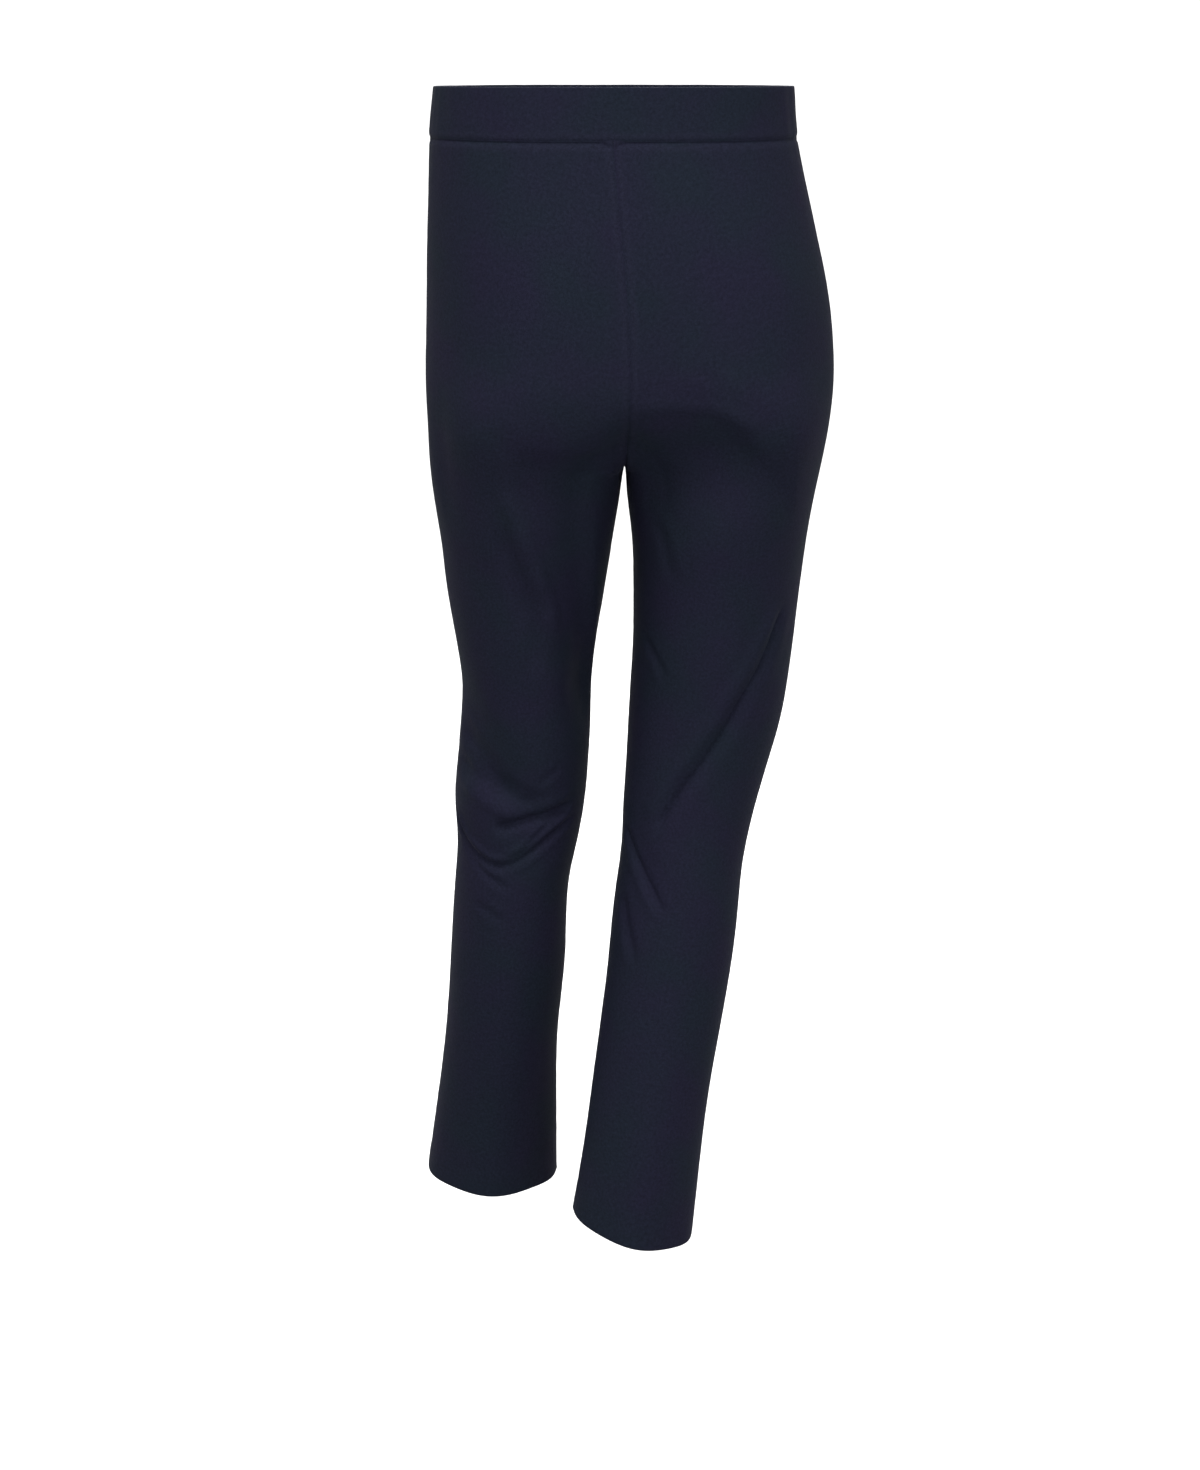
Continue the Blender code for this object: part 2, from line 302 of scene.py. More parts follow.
panelCloth = {
    "thickness": 1.1,            # mm, a ponte is 1.0 to 1.2
    "rim": 2.2,                  # mm, a face narrower than this is on the solid's rim
    "levels": 3,                 # of subdivision, from faces of 20 mm to 2.5 mm
    "meet": 0.25,                # mm that a seam's edge moves to touch its neighbour
    # subdivision draws the cloth in by crown mm, from crownReach mm beside the seams
    "crown": 0.30, "crownReach": 9,
    # the overlocked edges inside each seam, all in mm: they curl inwards in slow waves
    "allowance": 6.5, "allowanceThick": 0.9, "allowanceGap": 0.4, "allowanceMeet": 0.3,
    "curl": 0.35, "curlLength": 16,
    # mm from the lowest point and from the waist in which a level rim is the hem or the waist
    "hemZone": 60, "waistZone": 60,
    # the top edge goes up inside the waistband, as (inwards, up) from the panel's edge
    "waistTurn": [(0.15, 0.60), (0.15, 6.00)],
    # the turned edge at the hem, as (inwards, up) from the panel's lower edge
    "hemTurn": [(0.35, -0.50), (1.45, -0.85), (2.55, -0.50), (2.90, 0.40), (2.90, 3.00)],
    # width, length and area of the flat cut, in metres
    "cut": {"front": (0.31, 1.00, 0.213), "back": (0.32, 1.02, 0.228)},
}


def ease(x):
    x = min(max(x, 0.0), 1.0)
    return x * x * (3 - 2 * x)


def outerSkin(nodeName, rimWidth):
    # the outside face of a cloth solid, as the quads of its own grid: without its narrow rim
    # the outside and the inside are two islands
    bm = bmesh.new()
    bm.from_mesh(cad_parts[nodeName].data)
    bmesh.ops.remove_doubles(bm, verts=bm.verts, dist=0.01 * mm)
    rim = [f for f in bm.faces
           if 2 * f.calc_area() < rimWidth * mm * max(e.calc_length() for e in f.edges)]
    bmesh.ops.delete(bm, geom=rim, context="FACES")
    outer, outerArea = None, 0.0
    unseen = set(bm.faces)
    while unseen:
        stack = [unseen.pop()]
        island = list(stack)
        while stack:
            for edge in stack.pop().edges:
                for face in edge.link_faces:
                    if face in unseen:
                        unseen.remove(face)
                        stack.append(face)
                        island.append(face)
        area = sum(face.calc_area() for face in island)
        if area > outerArea:     # the outside of a bent wall is larger than its inside
            outer, outerArea = set(island), area
    bmesh.ops.delete(bm, geom=[f for f in bm.faces if f not in outer], context="FACES")
    for limit in (math.radians(60), math.pi):
        triangles = [f for f in bm.faces if len(f.verts) == 3]
        bmesh.ops.join_triangles(bm, faces=triangles, angle_face_threshold=limit,
                                 angle_shape_threshold=limit)
    print(nodeName, "quads", sum(len(f.verts) == 4 for f in bm.faces), "of", len(bm.faces))
    return bm


def isLevel(edge):
    a, b = (v.co for v in edge.verts)
    return abs((a - b).normalized().z) < 0.5


def hemEdges(bm):
    top = cadBox[0][2] + panelCloth["hemZone"] * mm
    return [e for e in bm.edges
            if e.is_boundary and isLevel(e) and max(v.co.z for v in e.verts) < top]


def waistEdges(bm):
    low = -panelCloth["waistZone"] * mm
    return [e for e in bm.edges
            if e.is_boundary and isLevel(e) and max(v.co.z for v in e.verts) > low]


def meetNeighbours(bm, edges, reach):
    # edges move out of their piece by reach mm, in its own surface, to touch the next piece
    moves = {}
    for edge in edges:
        a, b = (v.co for v in edge.verts)
        face = edge.link_faces[0]
        out = (b - a).cross(face.normal).normalized()
        if out.dot(face.calc_center_median() - (a + b) / 2) > 0:
            out.negate()
        for vert in edge.verts:
            moves.setdefault(vert, []).append(out)
    for vert, outs in moves.items():
        vert.co += sum(outs, Vector()) / len(outs) * reach * mm


# what a face's material slot says until the cloth is finished: it lies along a sewn edge, is
# turned up behind a seam, or is folded back inside
sewnMark, raisedMark, foldedMark = 1, 2, 3


def turnEdge(bm, edges, steps, mark):
    # extrude an edge along (inwards, up) steps in mm, measured from where it starts
    bm.normal_update()
    inwards = {}
    for vert in {v for e in edges for v in e.verts}:
        facing = sum((f.normal for f in vert.link_faces), Vector())
        inwards[vert] = -Vector((facing.x, facing.y, 0)).normalized()
    done = (0.0, 0.0)
    for step in steps:
        made = bmesh.ops.extrude_edge_only(bm, edges=edges)["geom"]
        fresh = {}
        for vert in [g for g in made if isinstance(g, bmesh.types.BMVert)]:
            start = next(e.other_vert(vert) for e in vert.link_edges
                         if e.other_vert(vert) in inwards)
            fresh[vert] = inwards[start]
            rise = Vector((0, 0, (step[1] - done[1]) * mm))
            vert.co += inwards[start] * (step[0] - done[0]) * mm + rise
        inwards = fresh
        for face in [g for g in made if isinstance(g, bmesh.types.BMFace)]:
            face.material_index = mark
        edges = [g for g in made if isinstance(g, bmesh.types.BMEdge)]
        done = step


def markSewn(bm, plain):
    for edge in bm.edges:
        if edge.is_boundary and edge not in plain:
            edge.link_faces[0].material_index = sewnMark


def keepCorners(bm):
    # the corners of the cut stay square when the cloth is subdivided
    crease = bm.verts.layers.float.new("crease_vert")
    for vert in bm.verts:
        rims = [e for e in vert.link_edges if e.is_boundary]
        if len(rims) == 2:
            a, b = (e.other_vert(vert).co - vert.co for e in rims)
            if a.angle(b) < math.radians(135):
                vert[crease] = 1.0


seamShape = {
    # the line of a sewn seam sinks, and the allowances inside lift the cloth beside it: heights,
    # widths and distances from the seam in mm
    "sink": 0.8, "sinkWidth": 1.5,
    "lift": 0.14, "liftPlace": 4.8, "liftWidth": 3.0,
    "pucker": 0.28, "puckerReach": 12.0, "puckerLength": 9.0,
    # how far from a seam the cloth follows its line, and how far its facing
    "lineReach": 4, "facingReach": 8,
    "neighbour": 3.0,            # how far off the other side of a seam may lie before they meet
    "overlap": 0.05,             # so that no light comes through
    # the knit is brushed along both sides of a seam
    "rub": 0.5, "rubPlace": 4, "rubWidth": 2.5,
}


def sewnVerts(mesh):
    # the points on the lines of the seams
    used = {}
    for face in mesh.polygons:
        for key in face.edge_keys:
            used.setdefault(key, []).append(face.material_index)
    seamMarks = [sewnMark], [sewnMark, raisedMark]
    return sorted({i for key, marks in used.items() if sorted(marks) in seamMarks for i in key})


def matchSeams(pieces):
    # the two sides of a seam share one line and one normal: for each piece, a tree of its sewn
    # points, and for each of them how far it moves and which way the cloth faces there
    sewn = {piece: sewnVerts(piece.data) for piece in pieces}
    points = [(piece, piece.data.vertices[i]) for piece in pieces for i in sewn[piece]]
    every = KDTree(len(points))
    for k, (piece, vert) in enumerate(points):
        every.insert(vert.co, k)
    every.balance()
    reach = seamShape["neighbour"] * mm
    seams = {}
    for piece in pieces:
        near = KDTree(len(sewn[piece]))
        facts = []
        for k, i in enumerate(sewn[piece]):
            vert = piece.data.vertices[i]
            near.insert(vert.co, k)
            others = [(d, points[j][1]) for _, j, d in every.find_range(vert.co, reach)
                      if points[j][0] != piece]
            shift, normal = Vector(), vert.normal.copy()
            if others:
                other = min(others, key=lambda pair: pair[0])[1]
                half = (other.co - vert.co) / 2
                shift = half + half.normalized() * seamShape["overlap"] * mm
                normal = (normal + other.normal).normalized()
            facts.append((shift, normal))
        near.balance()
        seams[piece] = (near, facts)
    return seams


def applyModifiers(piece):
    graph = bpy.context.evaluated_depsgraph_get()
    mesh = bpy.data.meshes.new_from_object(piece.evaluated_get(graph))
    piece.modifiers.clear()
    old, piece.data = piece.data, mesh
    bpy.data.meshes.remove(old)
    mesh.name = piece.name


def layOutCut(piece):
    # unwrap to the flat cut in metres, with the grain straight up
    for other in bpy.context.selected_objects:
        other.select_set(False)
    bpy.context.view_layer.objects.active = piece
    piece.select_set(True)
    piece.data.uv_layers.new(name="cut")
    bpy.ops.object.mode_set(mode="EDIT")
    bpy.ops.mesh.select_all(action="SELECT")
    bpy.ops.uv.unwrap(method="ANGLE_BASED", margin=0.0)
    bpy.ops.object.mode_set(mode="OBJECT")
    piece.select_set(False)
    mesh = piece.data
    layer = mesh.uv_layers["cut"].data
    flat = 0.0
    for face in mesh.polygons:
        corners = [layer[i].uv for i in face.loop_indices]
        turned = corners[1:] + corners[:1]
        flat += abs(sum(a.cross(b) for a, b in zip(corners, turned))) / 2
    size = math.sqrt(sum(face.area for face in mesh.polygons) / flat)
    uvs = [entry.uv.copy() for entry in layer]
    heights = [mesh.vertices[loop.vertex_index].co.z for loop in mesh.loops]
    centre = sum(uvs, Vector((0, 0))) / len(uvs)
    level = sum(heights) / len(heights)
    up = sum(((uv - centre) * (z - level) for uv, z in zip(uvs, heights)), Vector((0, 0)))
    up.normalize()
    for entry, uv in zip(layer, uvs):
        away = (uv - centre) * size
        entry.uv = (away.x * up.y - away.y * up.x, away.dot(up))


def subdivide(piece, levels):
    layer = piece.modifiers.new("finer", "SUBSURF")
    layer.levels = layer.render_levels = levels
    layer.boundary_smooth = "PRESERVE_CORNERS"
    applyModifiers(piece)


def thicken(piece, wall):
    layer = piece.modifiers.new("wall", "SOLIDIFY")
    layer.thickness = wall * mm
    layer.offset = -1.0
    applyModifiers(piece)
    piece.data.shade_smooth()
    piece.data.set_sharp_from_angle(angle=math.radians(55))


creaseShape = {
    "fade": 0.22,                # the share that runs out at each end, unless a crease has its own
    # a crease's depth wanders, over twice its width and at least this many mm
    "wander": 0.3, "wanderLength": 20,
    "facing": (0.2, 0.5),        # it is lost on cloth that turns away from it
    "sideBlend": 3,              # mm between what is on its left and on its right
    "lipStart": 0.9,             # of its width
    "lipRight": 0.4,             # how high the lip is on the right
}

# Creases are pressed in along a line. The path is (x, z) in mm on the named panel, seen straight
# from behind or in front. depth is a trough, or with a minus a ridge, and width its reach on
# each side, or widthLeft on the left of the path. lip is what the cloth throws up beside it,
# most of it on the left, sharp how much the bottom is a fold line, and fade the share of the
# line that runs out at each end.
creases = [
    # under the seat the cloth falls in: deep on the right, shallow on the left
    {"on": "back_right", "path": [(0, -290), (-40, -292), (-80, -288), (-118, -278), (-155, -264)],
     "width": 80, "widthLeft": 88, "depth": 5.5, "fade": 0.16},
    {"on": "back_left", "path": [(0, -293), (40, -292), (80, -288), (120, -284), (155, -278)],
     "width": 88, "widthLeft": 80, "depth": 5.5, "fade": 0.16},
    {"on": "back_right", "path": [(6, -284), (-34, -284), (-68, -279), (-96, -268), (-120, -252)],
     "width": 76, "widthLeft": 72, "depth": 7.4, "fade": 0.2},
    {"on": "back_right", "path": [(-14, -230), (-42, -226), (-78, -228), (-106, -238),
                                  (-124, -250)],
     "width": 11, "depth": -1.2, "fade": 0.16},
    {"on": "back_left", "path": [(88, -282), (64, -284), (38, -286), (8, -290)],
     "width": 60, "widthLeft": 28, "depth": 3.2},
    # the left thigh has a soft ridge down its middle, and is flat and shaded inside it
    {"on": "back_left", "path": [(92, -290), (79, -330), (66, -366), (52, -408), (46, -450)],
     "width": 13, "depth": -4.0},
    {"on": "back_left", "path": [(34, -286), (30, -335), (26, -385), (22, -435), (22, -490),
                                 (26, -545)],
     "width": 52, "widthLeft": 24, "depth": 8.0, "fade": 0.25},
    {"on": "back_left", "path": [(98, -326), (87, -364), (75, -402), (67, -434), (64, -476)],
     "width": 12, "depth": 2.6},
    # behind the left knee the cloth overhangs, and turns under along a line that runs in and down
    {"on": "back_left", "path": [(150, -552), (134, -559), (120, -567), (106, -574), (90, -580),
                                 (72, -588), (56, -597)],
     "width": 18, "widthLeft": 20, "depth": 5.0, "sharp": 0.3, "fade": 0.2},
    {"on": "back_left", "path": [(140, -520), (124, -538), (108, -558), (94, -574), (80, -586)],
     "width": 18, "widthLeft": 20, "depth": 5.0, "sharp": 0.2, "fade": 0.25},
    {"on": "back_left", "path": [(132, -574), (116, -582), (98, -589), (80, -595)],
     "width": 13, "depth": -1.4},
    {"on": "back_left", "path": [(104, -611), (84, -606), (64, -602), (34, -595)],
     "width": 8, "depth": 6.6, "lip": 0.8, "lipWidth": 9, "sharp": 0.6, "fade": 0.16},
    # the loop of fine folds under the left knee
    {"on": "back_left", "path": [(139, -600), (136, -616), (126, -633), (112, -643), (98, -646),
                                 (84, -641), (68, -631), (50, -618), (32, -606)],
     "width": 4.2, "depth": 3.4, "lip": 1.8, "lipWidth": 6, "sharp": 0.7, "fade": 0.12},
    {"on": "back_left", "path": [(98, -638), (84, -634), (72, -625), (62, -615), (54, -607)],
     "width": 3.5, "depth": 1.8, "lip": 0.7, "lipWidth": 4, "sharp": 0.6, "fade": 0.2},
    {"on": "back_left", "path": [(136, -628), (124, -642), (112, -654), (98, -663), (84, -666)],
     "width": 4.5, "depth": 1.7, "lip": 0.7, "lipWidth": 6, "sharp": 0.3},
    {"on": "back_left", "path": [(92, -698), (106, -691), (122, -682)],
     "width": 5, "depth": 1.4, "lip": 0.6, "lipWidth": 6},
    {"on": "back_left", "path": [(44, -555), (54, -561), (64, -569)],
     "width": 5, "depth": 0.9, "lip": 0.4, "lipWidth": 5},
    # the long drag line across the back of the right knee
    {"on": "back_right", "path": [(-36, -606), (-44, -592), (-60, -566), (-78, -541), (-97, -511),
                                  (-110, -487), (-125, -461), (-135, -437), (-146, -405)],
     "width": 5, "widthLeft": 4, "depth": 4.8, "lip": 2.6, "lipWidth": 15, "sharp": 0.8,
     "fade": 0.08},
    {"on": "back_right", "path": [(-46, -678), (-32, -652), (-20, -630), (-12, -610)],
     "width": 5, "depth": 3.0, "lip": 1.2, "lipWidth": 8, "sharp": 0.5, "fade": 0.12},
    {"on": "back_right", "path": [(-20, -726), (-14, -700), (-9, -668)],
     "width": 7, "depth": 2.2, "lip": 0.8, "lipWidth": 8},
    {"on": "back_right", "path": [(-46, -472), (-36, -453), (-26, -438)],
     "width": 6, "depth": 1.6, "lip": 0.6, "lipWidth": 7},
    {"on": "back_right", "path": [(-30, -330), (-42, -352), (-50, -384)],
     "width": 9, "depth": 1.4, "lip": 0.5, "lipWidth": 8},
    # fine pull lines on the right of the seat
    {"on": "back_right", "path": [(-92, -196), (-104, -214), (-112, -238)],
     "width": 6, "depth": -1.2, "sharp": 0.3},
    {"on": "back_right", "path": [(-70, -190), (-82, -208), (-88, -228)],
     "width": 6, "depth": 1.0},
    # in front: the knees break softly, and short lines fan out from the crotch
    {"on": "front_left", "path": [(54, -553), (84, -547), (112, -551), (136, -566)],
     "width": 8, "depth": 3.0, "lip": 1.2, "lipWidth": 10, "sharp": 0.3},
    {"on": "front_left", "path": [(136, -640), (112, -654), (86, -652), (54, -630)],
     "width": 6, "depth": 2.6, "lip": 1.2, "lipWidth": 8, "sharp": 0.5},
    {"on": "front_left", "path": [(128, -664), (104, -672), (80, -664)],
     "width": 6, "depth": 1.6, "lip": 0.6, "lipWidth": 7},
    {"on": "front_left", "path": [(8, -268), (38, -257), (68, -254), (90, -258)],
     "width": 9, "depth": 1.9, "lip": 0.8, "lipWidth": 11},
    {"on": "front_left", "path": [(12, -290), (42, -293), (78, -286)],
     "width": 8, "depth": 1.2, "lip": 0.4, "lipWidth": 9},
    {"on": "front_right", "path": [(-136, -543), (-108, -560), (-78, -566), (-40, -556)],
     "width": 8, "depth": 3.0, "lip": 1.3, "lipWidth": 10, "sharp": 0.3},
    {"on": "front_right", "path": [(-36, -626), (-62, -640), (-88, -640), (-114, -624)],
     "width": 6, "depth": 2.4, "lip": 1.0, "lipWidth": 8, "sharp": 0.5},
    {"on": "front_right", "path": [(-28, -258), (-58, -244), (-92, -240), (-124, -250)],
     "width": 8, "depth": 2.2, "lip": 0.9, "lipWidth": 10},
    {"on": "front_right", "path": [(-30, -281), (-48, -278), (-66, -285)],
     "width": 6, "depth": 1.1, "lip": 0.4, "lipWidth": 7},
]


def smoothPath(points, step=2.0):
    # evenly spaced points on a smooth line through the given ones
    ends = [points[0]] + points + [points[-1]]
    line = []
    for a, b, c, d in zip(ends, ends[1:], ends[2:], ends[3:]):
        count = max(2, int(math.dist(b, c) / step))
        for t in [i / count for i in range(count)]:
            line.append([q + ((r - p) * t + (2 * p - 5 * q + 4 * r - s) * t * t
                              + (3 * q - p - 3 * r + s) * t ** 3) / 2
                         for p, q, r, s in zip(a, b, c, d)])
    return line + [points[-1]]


def layCreases():
    # each crease's path laid on the outside of its panel, with the cloth's normal at each spot
    trees = {}
    lines = []
    for crease in creases:
        on = crease["on"]
        if on not in trees:
            bm = bmesh.new()
            bm.from_mesh(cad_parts[on].data)
            trees[on] = BVHTree.FromBMesh(bm)
            bm.free()
        side = 1 if on.startswith("back") else -1
        spots = []
        for x, z in smoothPath(crease["path"]):
            place, normal, _, _ = trees[on].ray_cast(
                Vector((x * mm, side, z * mm)), Vector((0, -side, 0)))
            if place and spots:      # more spots in between, where the cloth turns away
                last, lastNormal = spots[-1]
                count = int((place - last).length / mm) + 1
                spots += [(last.lerp(place, i / count),
                           lastNormal.lerp(normal, i / count).normalized())
                          for i in range(1, count)]
            if place:
                spots.append((place, normal))
        near = KDTree(len(spots))
        for i, (place, normal) in enumerate(spots):
            near.insert(place, i)
        near.balance()
        widest = max(crease["width"], crease.get("widthLeft", 0.0))
        reach = (widest * 1.3 + 2 * crease.get("lipWidth", 0.0)) * mm
        lines.append({
            **crease, "spots": spots, "near": near, "reach": reach, "widest": widest,
            "low": [min(s[0][i] for s in spots) - reach for i in range(3)],
            "high": [max(s[0][i] for s in spots) + reach for i in range(3)]})
    return lines


def creaseDepth(line, co, normal):
    # mm that this crease moves the cloth at co, along its normal
    if not all(a <= c <= b for a, c, b in zip(line["low"], co, line["high"])):
        return 0.0
    shape = creaseShape
    place, index, distance = line["near"].find(co)
    spots = line["spots"]
    facing = normal.dot(spots[index][1])
    lost, full = shape["facing"]
    if distance > line["reach"] or facing < lost:
        return 0.0
    along = spots[min(index + 1, len(spots) - 1)][0] - spots[max(index - 1, 0)][0]
    left = spots[index][1].cross(along).normalized().dot(co - place) / mm
    t = index / (len(spots) - 1)
    ends = line.get("fade", shape["fade"])
    size = max(shape["wanderLength"], 2 * line["widest"]) * mm
    uneven = 1 + shape["wander"] * noise.noise(place / size)
    fade = ease(t / ends) * ease((1 - t) / ends) * uneven * ease(facing / full)
    side = ease(0.5 + left / shape["sideBlend"])
    width = line["width"] + (line.get("widthLeft", line["width"]) - line["width"]) * side
    x = min(distance / (width * mm), 1.0)
    sharp = line.get("sharp", 0.0)
    depth = -line["depth"] * ((1 - sharp) * (1 - x * x) ** 2 + sharp * (1 - x) ** 2)
    if "lip" in line:
        out = (distance / mm - width * shape["lipStart"]) / line["lipWidth"]
        hump = ease(2 * out) if out < 0.5 else ease(1.5 - out)
        depth += line["lip"] * hump * (shape["lipRight"] + (1 - shape["lipRight"]) * side)
    return depth * fade


softness = {
    # slow unevenness of cloth that has been worn: length of a wave and its height, in mm
    "waves": [(105, 1.5), (40, 0.65)],
    "drawn": 0.45,               # waves are longer down the leg than across it
}


def shapeCloth(piece, seam, lines, extra):
    # move the fine mesh along its normals: waves, seams, creases and extra(co), all in mm
    mesh = piece.data
    shape = seamShape
    near, facts = seam
    folded = {i for face in mesh.polygons if face.material_index == foldedMark
              for i in face.vertices}
    single = [vert for vert in mesh.vertices if vert.index not in folded]
    outside = KDTree(len(single))
    for k, vert in enumerate(single):
        outside.insert(vert.co, k)
    outside.balance()
    rub, moved = [], []
    for vert in mesh.vertices:
        # a fold's two layers move together, so its inside follows the spot outside it
        lead = single[outside.find(vert.co)[1]] if vert.index in folded else vert
        _, k, away = near.find(lead.co)
        away /= mm
        shift, seamNormal = facts[k]
        shift = shift * math.exp(-(away / shape["lineReach"]) ** 2)
        co = lead.co + shift
        follow = math.exp(-(away / shape["facingReach"]) ** 2)
        normal = lead.normal.lerp(seamNormal, follow).normalized()
        drawn = Vector((co.x, co.y, co.z * softness["drawn"]))
        move = sum(height * noise.noise(drawn / (size * mm)) for size, height in softness["waves"])
        move += panelCloth["crown"] * ease(away / panelCloth["crownReach"])
        move -= shape["sink"] * math.exp(-(away / shape["sinkWidth"]) ** 2)
        move += shape["lift"] * ease(1 - abs(away - shape["liftPlace"]) / shape["liftWidth"])
        move += (shape["pucker"] * noise.noise(co / (shape["puckerLength"] * mm))
                 * math.exp(-away / shape["puckerReach"]))
        move += sum(creaseDepth(line, co, normal) for line in lines) + extra(co)
        moved.append(vert.co + shift + normal * move * mm)
        brushed = (away - shape["rubPlace"]) / shape["rubWidth"]
        rub.append(shape["rub"] * math.exp(-brushed ** 2))
    for vert, place in zip(mesh.vertices, moved):
        vert.co = place
    layer = mesh.attributes.new("rub", "FLOAT", "POINT")
    layer.data.foreach_set("value", rub)


def splitAllowances(piece, name, thread, seam):
    # the overlocked edges inside the seams: the marked strips again, one wall further in, and
    # across the seam by a little
    cloth = panelCloth
    near, facts = seam
    bm = bmesh.new()
    bm.from_mesh(piece.data)
    bm.verts.ensure_lookup_table()
    sewn = {bm.verts[i] for i in sewnVerts(piece.data)}
    rest = [f for f in bm.faces if f.material_index != sewnMark]
    bmesh.ops.delete(bm, geom=rest, context="FACES")
    inwards = cloth["thickness"] + cloth["allowanceGap"]
    for vert in bm.verts:
        curl = cloth["curl"] * (1 + noise.noise(vert.co / (cloth["curlLength"] * mm)))
        vert.co -= facts[near.find(vert.co)[1]][1] * (inwards + curl) * mm
    seamLine = [e for e in bm.edges if e.is_boundary and all(v in sewn for v in e.verts)]
    meetNeighbours(bm, seamLine, cloth["allowanceMeet"])
    for face in bm.faces:
        face.material_index = 0
    strips = meshPiece(bm, name)
    strips.data.materials.append(thread)
    thicken(strips, cloth["allowanceThick"])
    return strips


blindHem = {
    # mm: where the turned edge is caught above the hem, and the pricks there
    "height": 26.5, "dent": 0.28, "width": 2.2, "pitch": 7.0, "legRadius": 62,
}


def blindHemDent(spots):
    # a blind hem shows as a line of tiny pricks where the turned edge is caught
    front, back = min(spots, key=lambda s: s.y), max(spots, key=lambda s: s.y)
    slope = (back.z - front.z) / (back.y - front.y)
    middle = sum(spots, Vector()) / len(spots)

    def dent(co):
        above = (co.z - front.z - slope * (co.y - front.y)) / mm - blindHem["height"]
        if abs(above) > 3 * blindHem["width"]:
            return 0.0
        around = math.atan2(co.y - middle.y, co.x - middle.x) * blindHem["legRadius"]
        prick = 0.5 + 0.5 * math.cos(2 * math.pi * around / blindHem["pitch"])
        return -blindHem["dent"] * prick * math.exp(-(above / blindHem["width"]) ** 2)
    return dent


waistband = {
    "thickness": 1.0,
    "rim": 3.2,                  # mm, as in panelCloth
    "meet": 0.25,
    "strip": 4,                  # mm, the row of faces along its edges
    "levels": 3,
    "lowerEdge": -21,            # mm, the height at which the panels begin
    # the cloth goes over the elastic: (inwards, up) from the band's upper edge, and down inside
    "fold": [(0.30, 0.55), (1.50, 1.00), (2.70, 0.55), (3.00, -0.60), (3.00, -14.0), (3.00, -27.0),
             (3.00, -39.0)],
    "waistRadius": 130,          # mm
    "gatherLength": 9.0,         # mm from one gather to the next
    "gatherHeight": 60,          # mm that a gather runs down before it wanders
    "gather": 0.45,              # mm, their height on the band
    "gatherBelow": 0.60,         # mm, their height at the top of the panels
    "gatherFade": 26.0,          # mm, how far down they reach
    "cut": (0.43, 0.084),
}


def bandGather(co):
    # the elastic draws the cloth into small soft upright gathers
    band = waistband
    around = math.atan2(co.y, co.x) * band["waistRadius"] / band["gatherLength"]
    ripple = noise.noise(Vector((around, 0.0, co.z / (band["gatherHeight"] * mm))))
    down = band["lowerEdge"] - co.z / mm
    if down < 0:
        return band["gather"] * ripple
    return band["gatherBelow"] * ripple * math.exp(-down / band["gatherFade"])


def finishCloth(piece, knit, wall, nodeName):
    for face in piece.data.polygons:
        face.material_index = 0
    piece.data.materials.clear()
    piece.data.materials.append(knit)
    thicken(piece, wall)
    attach(piece, "root")
    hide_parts(nodeName)


def makePanelSkin(nodeName, name):
    # one panel of the cut with its turned edges, still one layer, and the pricks of its hem
    cloth = panelCloth
    bm = outerSkin(nodeName, cloth["rim"])
    hem = hemEdges(bm)
    pricks = blindHemDent([v.co.copy() for e in hem for v in e.verts])
    meetNeighbours(bm, [e for e in bm.edges if e.is_boundary and e not in hem], cloth["meet"])
    bmesh.ops.inset_region(bm, faces=bm.faces[:], thickness=cloth["allowance"] * mm,
                           use_boundary=True, use_even_offset=True)
    markSewn(bm, hemEdges(bm))
    waist = waistEdges(bm)
    turnEdge(bm, hemEdges(bm), cloth["hemTurn"], foldedMark)
    turnEdge(bm, waist, cloth["waistTurn"], raisedMark)
    keepCorners(bm)
    piece = meshPiece(bm, name)
    layOutCut(piece)
    subdivide(piece, cloth["levels"])
    return piece, pricks


def makePanel(nodeName, piece, pricks, seam, knit, thread, lines):
    cloth = panelCloth
    shapeCloth(piece, seam, lines, lambda co: bandGather(co) + pricks(co))
    strips = splitAllowances(piece, piece.name + "Allowance", thread, seam)
    finishCloth(piece, knit, cloth["thickness"], nodeName)
    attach(strips, "root")
    print(piece.name, "faces", len(piece.data.polygons), "allowance", len(strips.data.polygons))


def topEdges(bm):
    # the level edges with cloth below them
    return [e for e in bm.edges if e.is_boundary and isLevel(e)
            and e.link_faces[0].calc_center_median().z < sum(v.co.z for v in e.verts) / 2]


def makeBandSkin(nodeName, name):
    # one half of the band: the cloth goes up outside, over the elastic and down inside
    band = waistband
    bm = outerSkin(nodeName, band["rim"])
    top = topEdges(bm)
    meetNeighbours(bm, [e for e in bm.edges if e.is_boundary and e not in top], band["meet"])
    bmesh.ops.inset_region(bm, faces=bm.faces[:], thickness=band["strip"] * mm,
                           use_boundary=True, use_even_offset=True)
    top = topEdges(bm)
    markSewn(bm, top)
    turnEdge(bm, top, band["fold"], foldedMark)
    keepCorners(bm)
    piece = meshPiece(bm, name)
    layOutCut(piece)
    subdivide(piece, band["levels"])
    return piece


def makeWaistband(nodeName, piece, seam, knit, lines):
    shapeCloth(piece, seam, lines, bandGather)
    finishCloth(piece, knit, waistband["thickness"], nodeName)
    print(piece.name, "faces", len(piece.data.polygons))


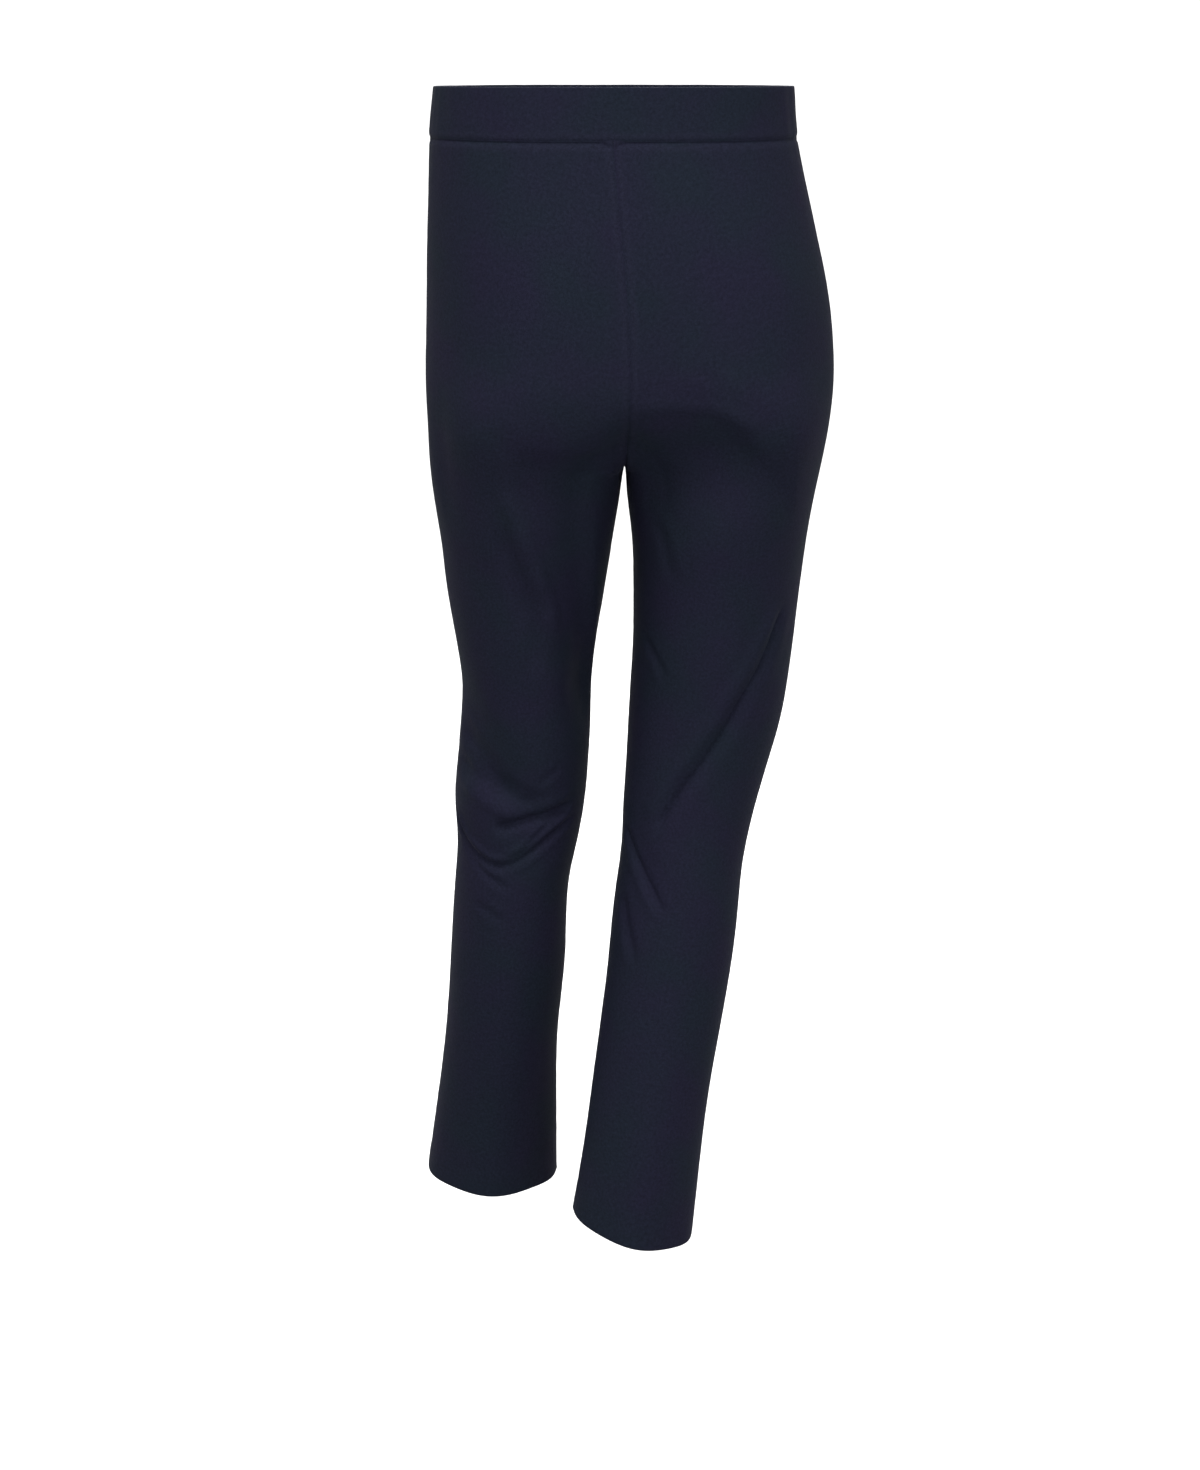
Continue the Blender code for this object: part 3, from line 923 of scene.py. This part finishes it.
hemRing = {
    "thickness": 1.1,
    "rim": 2.2,                  # mm, as in panelCloth
    "levels": 3,
    "above": 3.05,               # mm, where the ring takes over from the turned edge
    "cut": {"hem_left": (0.41, 0.027), "hem_right": (0.37, 0.027)},
    # one loop of the overlock as (along, inwards, up) in mm: up outside, over the edge and down
    "loop": [(0.0, -0.25, -4.0), (0.1, -0.30, -1.0), (0.3, 0.15, 0.25), (0.6, 1.10, 0.25),
             (1.0, 1.42, -1.0), (1.9, 1.35, -5.0)],
    "threadRadius": 0.22,        # mm
}


def threadLoop(path, radius):
    curve = bpy.data.curves.new("loop", "CURVE")
    curve.dimensions = "3D"
    curve.bevel_depth = radius * mm
    curve.bevel_resolution = 1
    curve.use_fill_caps = True
    spline = curve.splines.new("POLY")
    spline.points.add(len(path) - 1)
    for point, spot in zip(spline.points, path):
        point.co = (*[c * mm for c in spot], 1)
    thing = bpy.data.objects.new("loop", curve)
    mesh = bpy.data.meshes.new_from_object(thing)
    bpy.data.objects.remove(thing)
    bpy.data.curves.remove(curve)
    return mesh


def makeHemRing(nodeName, name, knit, thread):
    # the part of the turned edge that lies up inside the leg, with its overlocked top
    ring = hemRing
    bm = outerSkin(nodeName, ring["rim"])
    middle = (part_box(nodeName)[0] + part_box(nodeName)[1]) / 2
    rims = [e for e in bm.edges if e.is_boundary]
    lower = {v for e in rims for v in e.verts
             if e.link_faces[0].calc_center_median().z > (e.verts[0].co.z + e.verts[1].co.z) / 2}
    bmesh.ops.translate(bm, verts=list(lower), vec=(0, 0, ring["above"] * mm))
    piece = meshPiece(bm, name)
    layOutCut(piece)
    subdivide(piece, ring["levels"])
    layer = piece.data.attributes.new("rub", "FLOAT", "POINT")
    layer.data.foreach_set("value", [0.0] * len(piece.data.vertices))

    loop = threadLoop(ring["loop"], ring["threadRadius"])
    fine = bmesh.new()
    fine.from_mesh(piece.data)
    bm = bmesh.new()
    for edge in [e for e in fine.edges if e.is_boundary]:
        a, b = (v.co for v in edge.verts)
        spot = (a + b) / 2
        if edge.link_faces[0].calc_center_median().z > spot.z:
            continue
        inwards = Vector((middle.x - spot.x, middle.y - spot.y, 0)).normalized()
        across = inwards.cross(Vector((0, 0, 1)))
        old = set(bm.verts)
        bm.from_mesh(loop)
        for vert in [v for v in bm.verts if v not in old]:
            x, y, z = vert.co
            vert.co = spot + across * x + inwards * y + Vector((0, 0, z))
    fine.free()
    loops = meshPiece(bm, name + "Overlock")
    loops.data.shade_smooth()
    loops.data.materials.append(thread)
    finishCloth(piece, knit, ring["thickness"], nodeName)
    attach(loops, "root")
    print(name, "faces", len(piece.data.polygons), "overlock", len(loops.data.polygons))


makeStudio()
knit, thread = makePonte(), makeOverlock()
lines = layCreases()
print("creases laid", len(lines))
panels = {nodeName: makePanelSkin(nodeName, name) for nodeName, name in (
    ("back_left", "backLeftPanel"), ("back_right", "backRightPanel"),
    ("front_left", "frontLeftPanel"), ("front_right", "frontRightPanel"))}
seams = matchSeams([piece for piece, _ in panels.values()])
for nodeName, (piece, pricks) in panels.items():
    makePanel(nodeName, piece, pricks, seams[piece], knit, thread, lines)
bands = {nodeName: makeBandSkin(nodeName, name) for nodeName, name in (
    ("waistband_back", "waistbandBack"), ("waistband_front", "waistbandFront"))}
seams = matchSeams(bands.values())
for nodeName, piece in bands.items():
    makeWaistband(nodeName, piece, seams[piece], knit, lines)
makeHemRing("hem_left", "hemLeft", knit, thread)
makeHemRing("hem_right", "hemRight", knit, thread)
